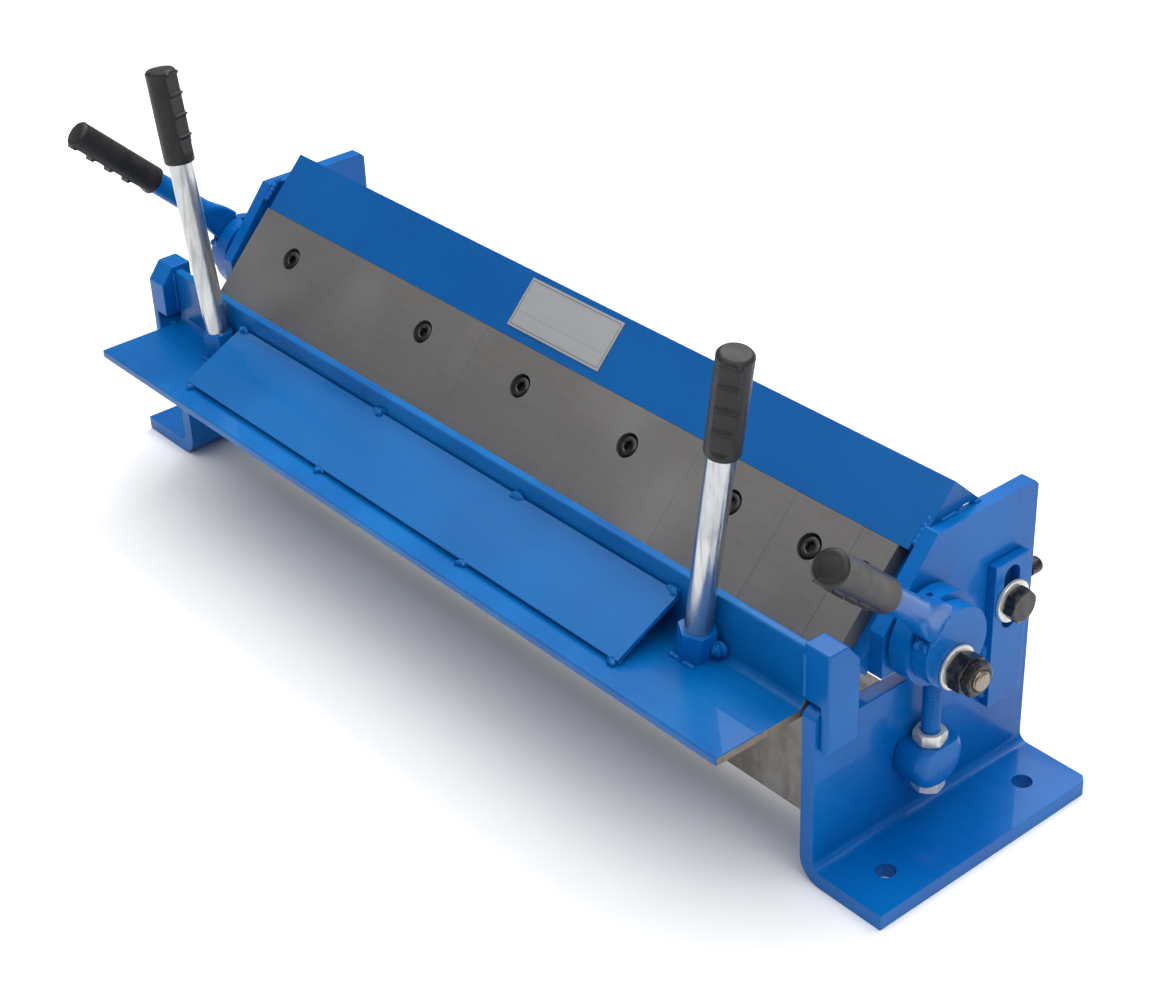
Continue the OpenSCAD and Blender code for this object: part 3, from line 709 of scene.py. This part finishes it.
g = material("black_oxide")
film = g.band(g.noise((1, 1, 1), 180.0, 4.0, 0.6), 0.35, 0.72)
bare = g.band(g.noise((1, 1, 1), 520.0, 4.0, 0.7), 0.62, 0.76)
colour = g.blend(film, (0.028, 0.026, 0.026, 1), (0.070, 0.065, 0.064, 1))
colour = g.blend(bare * 0.55, colour, (0.34, 0.31, 0.28, 1))
oxide = finish(g, colour, 0.24 + film * 0.14, 0.70, film + bare * 0.4, 0.00005)


def hexagon(angle, across_flats):
    """Radius of a regular hexagon at an angle."""
    return across_flats / 2 / np.cos((angle + math.pi / 6) % (math.pi / 3) - math.pi / 6)


def socket_screw(at, axis, head_r, head_h, key, depth, shank_r, shank):
    """Cap screw: shank, knurled head with rounded rim, and a hexagonal socket that ends in a drill point."""
    rows = [(-head_h - shank, 0, 0), (-head_h - shank, shank_r, 0), (-head_h, shank_r, 0)]
    rows += [(-head_h, head_r - 0.3, 0)]
    rows += [(-head_h + 0.4, head_r, 1), (-1.3, head_r, 1), (-0.6, head_r - 0.2, 0), (-0.2, head_r - 0.55, 0)]
    rows += [(0.0, head_r - 1.0, 0), (0.0, key * 0.66, 0), (-0.25, key * 0.60, 0)]
    rows += [(-0.5, key, 2), (-depth, key, 2), (-depth - 0.1, key * 0.42, 0), (-depth - 0.6, 0, 0)]
    kinds = np.array([r[2] for r in rows])[:, None]

    def swell(angle, along, radius):
        knurl = radius - 0.12 * (np.sin(angle * 24) > 0)
        return np.where(kinds == 2, hexagon(angle, key), np.where(kinds == 1, knurl, radius))

    return turned(at, axis, [r[:2] for r in rows], 96, swell, (1, 0, 0))


SCREW_UP = -24.0
SCREW_SUNK = 0.6
SCREWS_X = (-254.0, -101.6, 0.0, 101.6, 190.5, 254.0, 292.1)
screws = [socket_screw(on_face(x, SCREW_UP, -SCREW_SUNK), OFF_FACE, 6.5, 8.0, 6.0, 4.2, 4.0, 13.0)
          for x in SCREWS_X]
points, faces = joined(screws)
build("finger_screws_black", points, faces, oxide, "clamp_beam", ("finger_screws",), 30.0)

# ---------------------------------------------------------------------------
# Clamp hardware: M12 studs with a nut and lock nut, zinc washers, hexagon
# bolts in the guide slots and setback screws at the back. Bought-in parts,
# black oxide or zinc plated.
HUB_Y = 70.5
STUD_Z = 122.0
OUT_X = 324.0           # outer face of the end plates
SPACER_T = 2
RUN_GAP = 0.3
EYE_W = 12.4
DISC_T = 10.6
DISC_X0 = OUT_X + SPACER_T + RUN_GAP + EYE_W + RUN_GAP
DISC_X1 = DISC_X0 + DISC_T
STUD_FROM = 313.7
STUD_TO = DISC_X1 + 20
BOLT_Y = 138.0
BOLT_Z = 124.0


def thread(radius, pitch, depth):
    """Swell of a helical V thread of that pitch and depth."""

    def swell(angle, along, given):
        turn_share = (along / pitch - angle / (2 * math.pi)) % 1.0
        return given - depth * np.abs(turn_share - 0.5) * 2 * (given > radius * 0.8)

    return swell


def threaded(at, axis, radius, pitch, low, high, depth=0.55):
    """Threaded length from low to high along the axis with chamfered closed ends."""
    rows = [(low, 0), (low, radius - 0.9)]
    rows += [(s, radius) for s in np.arange(low + 0.6, high - 0.7, pitch / 8)]
    rows += [(high - 0.4, radius - 0.5), (high, radius - 1.0), (high, 0)]
    return turned(at, axis, rows, 48, thread(radius, pitch, depth))


def hex_nut(at, axis, low, high, across_flats, bore, start=None):
    """Hexagonal nut: flats limited by a 30 degree cone at each end, bore with a countersink."""
    corner = across_flats / math.sqrt(3)
    step = np.linspace(0, 1, 6)
    limit = 0.95 * across_flats / 2 + (corner - 0.95 * across_flats / 2) * step
    drop = (corner - 0.95 * across_flats / 2) * 0.6 * step
    rows = [(low + d, r) for d, r in zip(drop, limit)]
    rows += [(high - d, r) for d, r in zip(drop[::-1], limit[::-1])]
    if bore:
        rows += [(high, bore + 0.9), (high - 0.8, bore)]
        rows += [(low + 0.8, bore), (low, bore + 0.9), (low, limit[0])]
    else:
        rows = [(low, 0)] + rows + [(high, 0)]
    outer = np.array([r > bore + 1.0 for s, r in rows])[:, None]

    def swell(angle, along, radius):
        return np.where(outer, np.minimum(radius, hexagon(angle, across_flats)), radius)

    return turned(at, axis, rows, 96, swell, start)


def washer(at, axis, low, high, radius, bore):
    """Stamped washer: rolled outer rim on one side, sharp on the other."""
    rows = [(low, bore), (low, radius - 0.2), (low + 0.2, radius)]
    rows += [(high - 0.6, radius), (high - 0.2, radius - 0.3)]
    rows += [(high, radius - 0.9), (high, bore + 0.3), (high - 0.3, bore), (low, bore)]
    return turned(at, axis, rows, 72)


right_x = np.array([1.0, 0, 0])
stud_axis = (0, HUB_Y, STUD_Z)
washer_x0 = DISC_X1 + RUN_GAP
nut_x0 = washer_x0 + 2
nut_x1 = nut_x0 + 10
stud = threaded(stud_axis, right_x, 6.0, 1.75, STUD_FROM, STUD_TO)
nuts = [hex_nut(stud_axis, right_x, nut_x0, nut_x1, 21, 5.9, (0, 0.4, 0.9)),
        hex_nut(stud_axis, right_x, nut_x1, nut_x1 + 5.5, 19, 5.9, (0, 0.9, 0.35))]
points, faces = joined([stud, mirrored(stud)])
g = material("stud_end")
turning = g.noise((1, 1, 1), 900.0, 3.0)
colour = g.blend(turning, (0.17, 0.14, 0.11, 1), (0.42, 0.37, 0.30, 1))
stud_steel = finish(g, colour, 0.30 + turning * 0.1, 0.85, turning, 0.00003)
build("stud_threads", points, faces, stud_steel, "clamp_beam", ("cam_studs",), 30.0)
points, faces = joined(nuts + [mirrored(n) for n in nuts])
build("cam_nuts_black", points, faces, oxide, "clamp_beam", ("cam_nuts",), 24.0)

cream = material("cream_zinc")
bloom = cream.band(cream.noise((1, 1, 1), 300.0, 4.0, 0.6), 0.35, 0.75)
colour = cream.blend(bloom, (0.74, 0.73, 0.68, 1), (0.60, 0.58, 0.51, 1))
dull_zinc = finish(cream, colour, 0.34 + bloom * 0.12, 0.6, bloom, 0.00003)
outer_washer = washer(stud_axis, right_x, washer_x0, nut_x0, 13.5, 6.0)
points, faces = joined([outer_washer, mirrored(outer_washer)])
build("cam_washers_zinc", points, faces, dull_zinc, "clamp_beam", ("cam_washers",), 30.0)
bolt_axis = (0, BOLT_Y, BOLT_Z)
BAR_FACE = 330.3        # outer face of the guide bar, under the washer
HEAD_X0 = BAR_FACE + 2.5
slot_washer = washer(bolt_axis, right_x, BAR_FACE, HEAD_X0, 13.0, 6.0)
points, faces = joined([slot_washer, mirrored(slot_washer)])
build("slot_washers_zinc", points, faces, dull_zinc, "clamp_beam", ("slot_washers",), 30.0)
bolt_head = hex_nut(bolt_axis, right_x, HEAD_X0, HEAD_X0 + 7.5, 19, 0, (0, 0.75, 0.66))
shank_rows = [(STUD_FROM, 0), (STUD_FROM, 5.6), (STUD_FROM + 0.5, 6), (HEAD_X0, 6), (HEAD_X0, 0)]
bolt = joined([bolt_head, turned(bolt_axis, right_x, shank_rows, 48)])
points, faces = joined([bolt, mirrored(bolt)])
build("slot_bolts_black", points, faces, oxide, "clamp_beam", ("slot_bolts",), 24.0)

for side, body in ((1, "setback_right"), (-1, "setback_left")):
    screw = socket_screw((318.7, 173.5, 127.0), (0, 1, 0), 5.0, 9.0, 4.9, 3.0, 3.0, 18.5)
    points, faces = screw if side == 1 else mirrored(screw)
    replaced = ("setback_screw_" + body[8:],)
    build(body + "_screw_black", points, faces, oxide, body, replaced, 30.0)

# ---------------------------------------------------------------------------
# Clamp handles: a painted tube, flattened to a spade where it is welded on
# the eccentric's disc, with the same black grip as the leaf handles.
EYE_Z = STUD_Z + 12.5
SPLAY = math.radians(8.7)
REACH = 161.5
CAM_GRIP_L = 70.5
TUBE_FROM = 32.0


def spade_tube(at, forward, outward, uphill):
    """Round tube that widens uphill and thins outward towards its welded end, as a row of superellipses."""
    share = np.concatenate([np.linspace(0, 1, 28) ** 1.2, [1.0]])
    along = TUBE_FROM - 8 + np.concatenate([np.linspace(0, 26, 28), [REACH - TUBE_FROM]])
    flare = 0.5 + 0.5 * np.cos(share * math.pi)
    half_out = TUBE_R - 2.6 * flare
    half_up = TUBE_R + 3.4 * flare
    sharpness = 2.0 + 5.0 * flare
    angle = np.linspace(0, 2 * math.pi, 72, endpoint=False)[None, :]
    power = (2 / sharpness)[:, None]
    u = half_up[:, None] * np.sign(np.cos(angle)) * np.abs(np.cos(angle)) ** power
    w = half_out[:, None] * np.sign(np.sin(angle)) * np.abs(np.sin(angle)) ** power
    w = w + 1.7 * flare[:, None]
    points = at + along[:, None, None] * forward + u[..., None] * uphill + w[..., None] * outward
    points = np.concatenate([points[:1] * 0 + points[:1].mean(1, keepdims=True), points,
                             points[-1:] * 0 + points[-1:].mean(1, keepdims=True)])
    return points, rows_to_faces(len(points), angle.shape[1])


for side, suffix, rise_deg in ((1, "right", 41.4), (-1, "left", 44.0)):
    body = "cam_" + suffix
    up_angle = math.radians(rise_deg)
    plane_forward = np.array([0, -math.cos(up_angle), math.sin(up_angle)])
    uphill = np.array([0, math.sin(up_angle), math.cos(up_angle)])
    forward = plane_forward * math.cos(SPLAY) + np.array([math.sin(SPLAY), 0, 0])
    outward = np.array([math.cos(SPLAY), 0, 0]) - plane_forward * math.sin(SPLAY)
    at = np.array([DISC_X0 + 0.4, HUB_Y, EYE_Z]) + uphill * 7.25
    tube = spade_tube(at, forward, outward, uphill)
    points, faces = tube if side == 1 else mirrored(tube)
    replaced = ("cam_handle_tube_" + suffix,)
    build("clamp_handle_" + suffix, points, faces, blue, body, replaced, 50.0)
    grip_at = at + forward * (REACH - CAM_GRIP_L)
    grip = turned(grip_at, forward, grip_rows(CAM_GRIP_L), 120, grip_swell(CAM_GRIP_L), -uphill)
    points, faces = grip if side == 1 else mirrored(grip)
    build("clamp_grip_" + suffix, points, faces, black, body, ("cam_grip_" + suffix,), 50.0)
    eased("cam_hub_" + suffix, 0.9, blue, 3)
    seam = at + plane_forward * 22
    outer_seam = seam + 9.4 * right_x
    top_seam = seam + uphill * 8
    welds = [bead(outer_seam + uphill * 5, outer_seam - uphill * 14, 2.2, 61),
             bead(top_seam - 0.5 * right_x, top_seam + 9.5 * right_x, 1.4, 62),
             tack(seam - uphill * 15 + 5 * right_x, 4.5, 3.6, 63)]
    weld = joined(welds)
    points, faces = weld if side == 1 else mirrored(weld)
    build("hub_welds_" + suffix, points, faces, blue, body, (), 60.0)

# ---------------------------------------------------------------------------
# Link rods: an eye turned from plate round the eccentric, a threaded rod
# with two zinc nuts, and a forged trunnion whose outer face is rounded off.
ROD_X = OUT_X + 10.5
TRUNNION_Z = 54.0
TRUNNION_R = 18.5
TRUNNION_FLAT = 10.0    # upper flat above the axis
TRUNNION_LOW = 14.5     # lower flat below it


def trunnion_boss():
    """Domed cylinder along X, cut flat above and below where the nuts bear."""
    x0 = OUT_X + 0.3
    dome = np.linspace(0, math.pi / 2, 14)
    rows = [(x0, 0), (x0, 17.1), (x0 + 0.5, 18.1), (x0 + 1.2, TRUNNION_R), (x0 + 14.6, TRUNNION_R)]
    rows += [(x0 + 14.6 + 6.0 * math.sin(a), TRUNNION_R - 6.0 * (1 - math.cos(a))) for a in dome]
    rows += [(x0 + 20.6, 4), (x0 + 20.6, 0)]
    points, faces = turned((0, HUB_Y, TRUNNION_Z), right_x, rows, 96)
    low, high = TRUNNION_Z - TRUNNION_LOW, TRUNNION_Z + TRUNNION_FLAT
    points[..., 2] = np.clip(points[..., 2], low, high)
    return points, faces


for side, suffix in ((1, "right"), (-1, "left")):
    body = "link_" + suffix
    eased("eye_rod_" + suffix, 0.8, blue, 2)
    rod = threaded((ROD_X, HUB_Y, 0), (0, 0, 1), 5.35, 1.5, 30.6, EYE_Z - 27.4, 0.5)
    points, faces = rod if side == 1 else mirrored(rod)
    build("rod_thread_" + suffix, points, faces, blue, body, (), 30.0)
    pair = joined([hex_nut((ROD_X, HUB_Y, TRUNNION_Z), (0, 0, 1), 10, 17.5, 17, 5.0, (0.97, 0.26, 0)),
                   hex_nut((ROD_X, HUB_Y, TRUNNION_Z), (0, 0, 1), -22, -14.5, 17, 5.0, (0.97, 0.26, 0))])
    points, faces = pair if side == 1 else mirrored(pair)
    replaced = ("rod_nuts_" + suffix,)
    build("rod_nuts_zinc_" + suffix, points, faces, dull_zinc, body, replaced, 24.0)
    boss = trunnion_boss()
    spigot_rows = [(314.3, 0), (314.3, 7.6), (314.7, 8), (324.4, 8), (324.4, 0)]
    spigot = turned((0, HUB_Y, TRUNNION_Z), right_x, spigot_rows, 48)
    boss = joined([boss, spigot])
    points, faces = boss if side == 1 else mirrored(boss)
    replaced = ("trunnion_" + suffix,)
    build("trunnion_painted_" + suffix, points, faces, blue, body, replaced, 50.0)

# ---------------------------------------------------------------------------
# The CAD solids that stay as they are, mostly inside: the pivot pins and the
# inner washers. Each takes the finish of its kind.
kept_finish = {"leaf_pivot_pins": ground, "cam_spacer_washers": zinc}
for node, paint in kept_finish.items():
    solid = frame["nodes"][node]
    for number in range(max(1, len(solid.material_slots))):
        if not solid.material_slots:
            solid.data.materials.append(paint)
        solid.material_slots[number].material = paint

low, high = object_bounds()
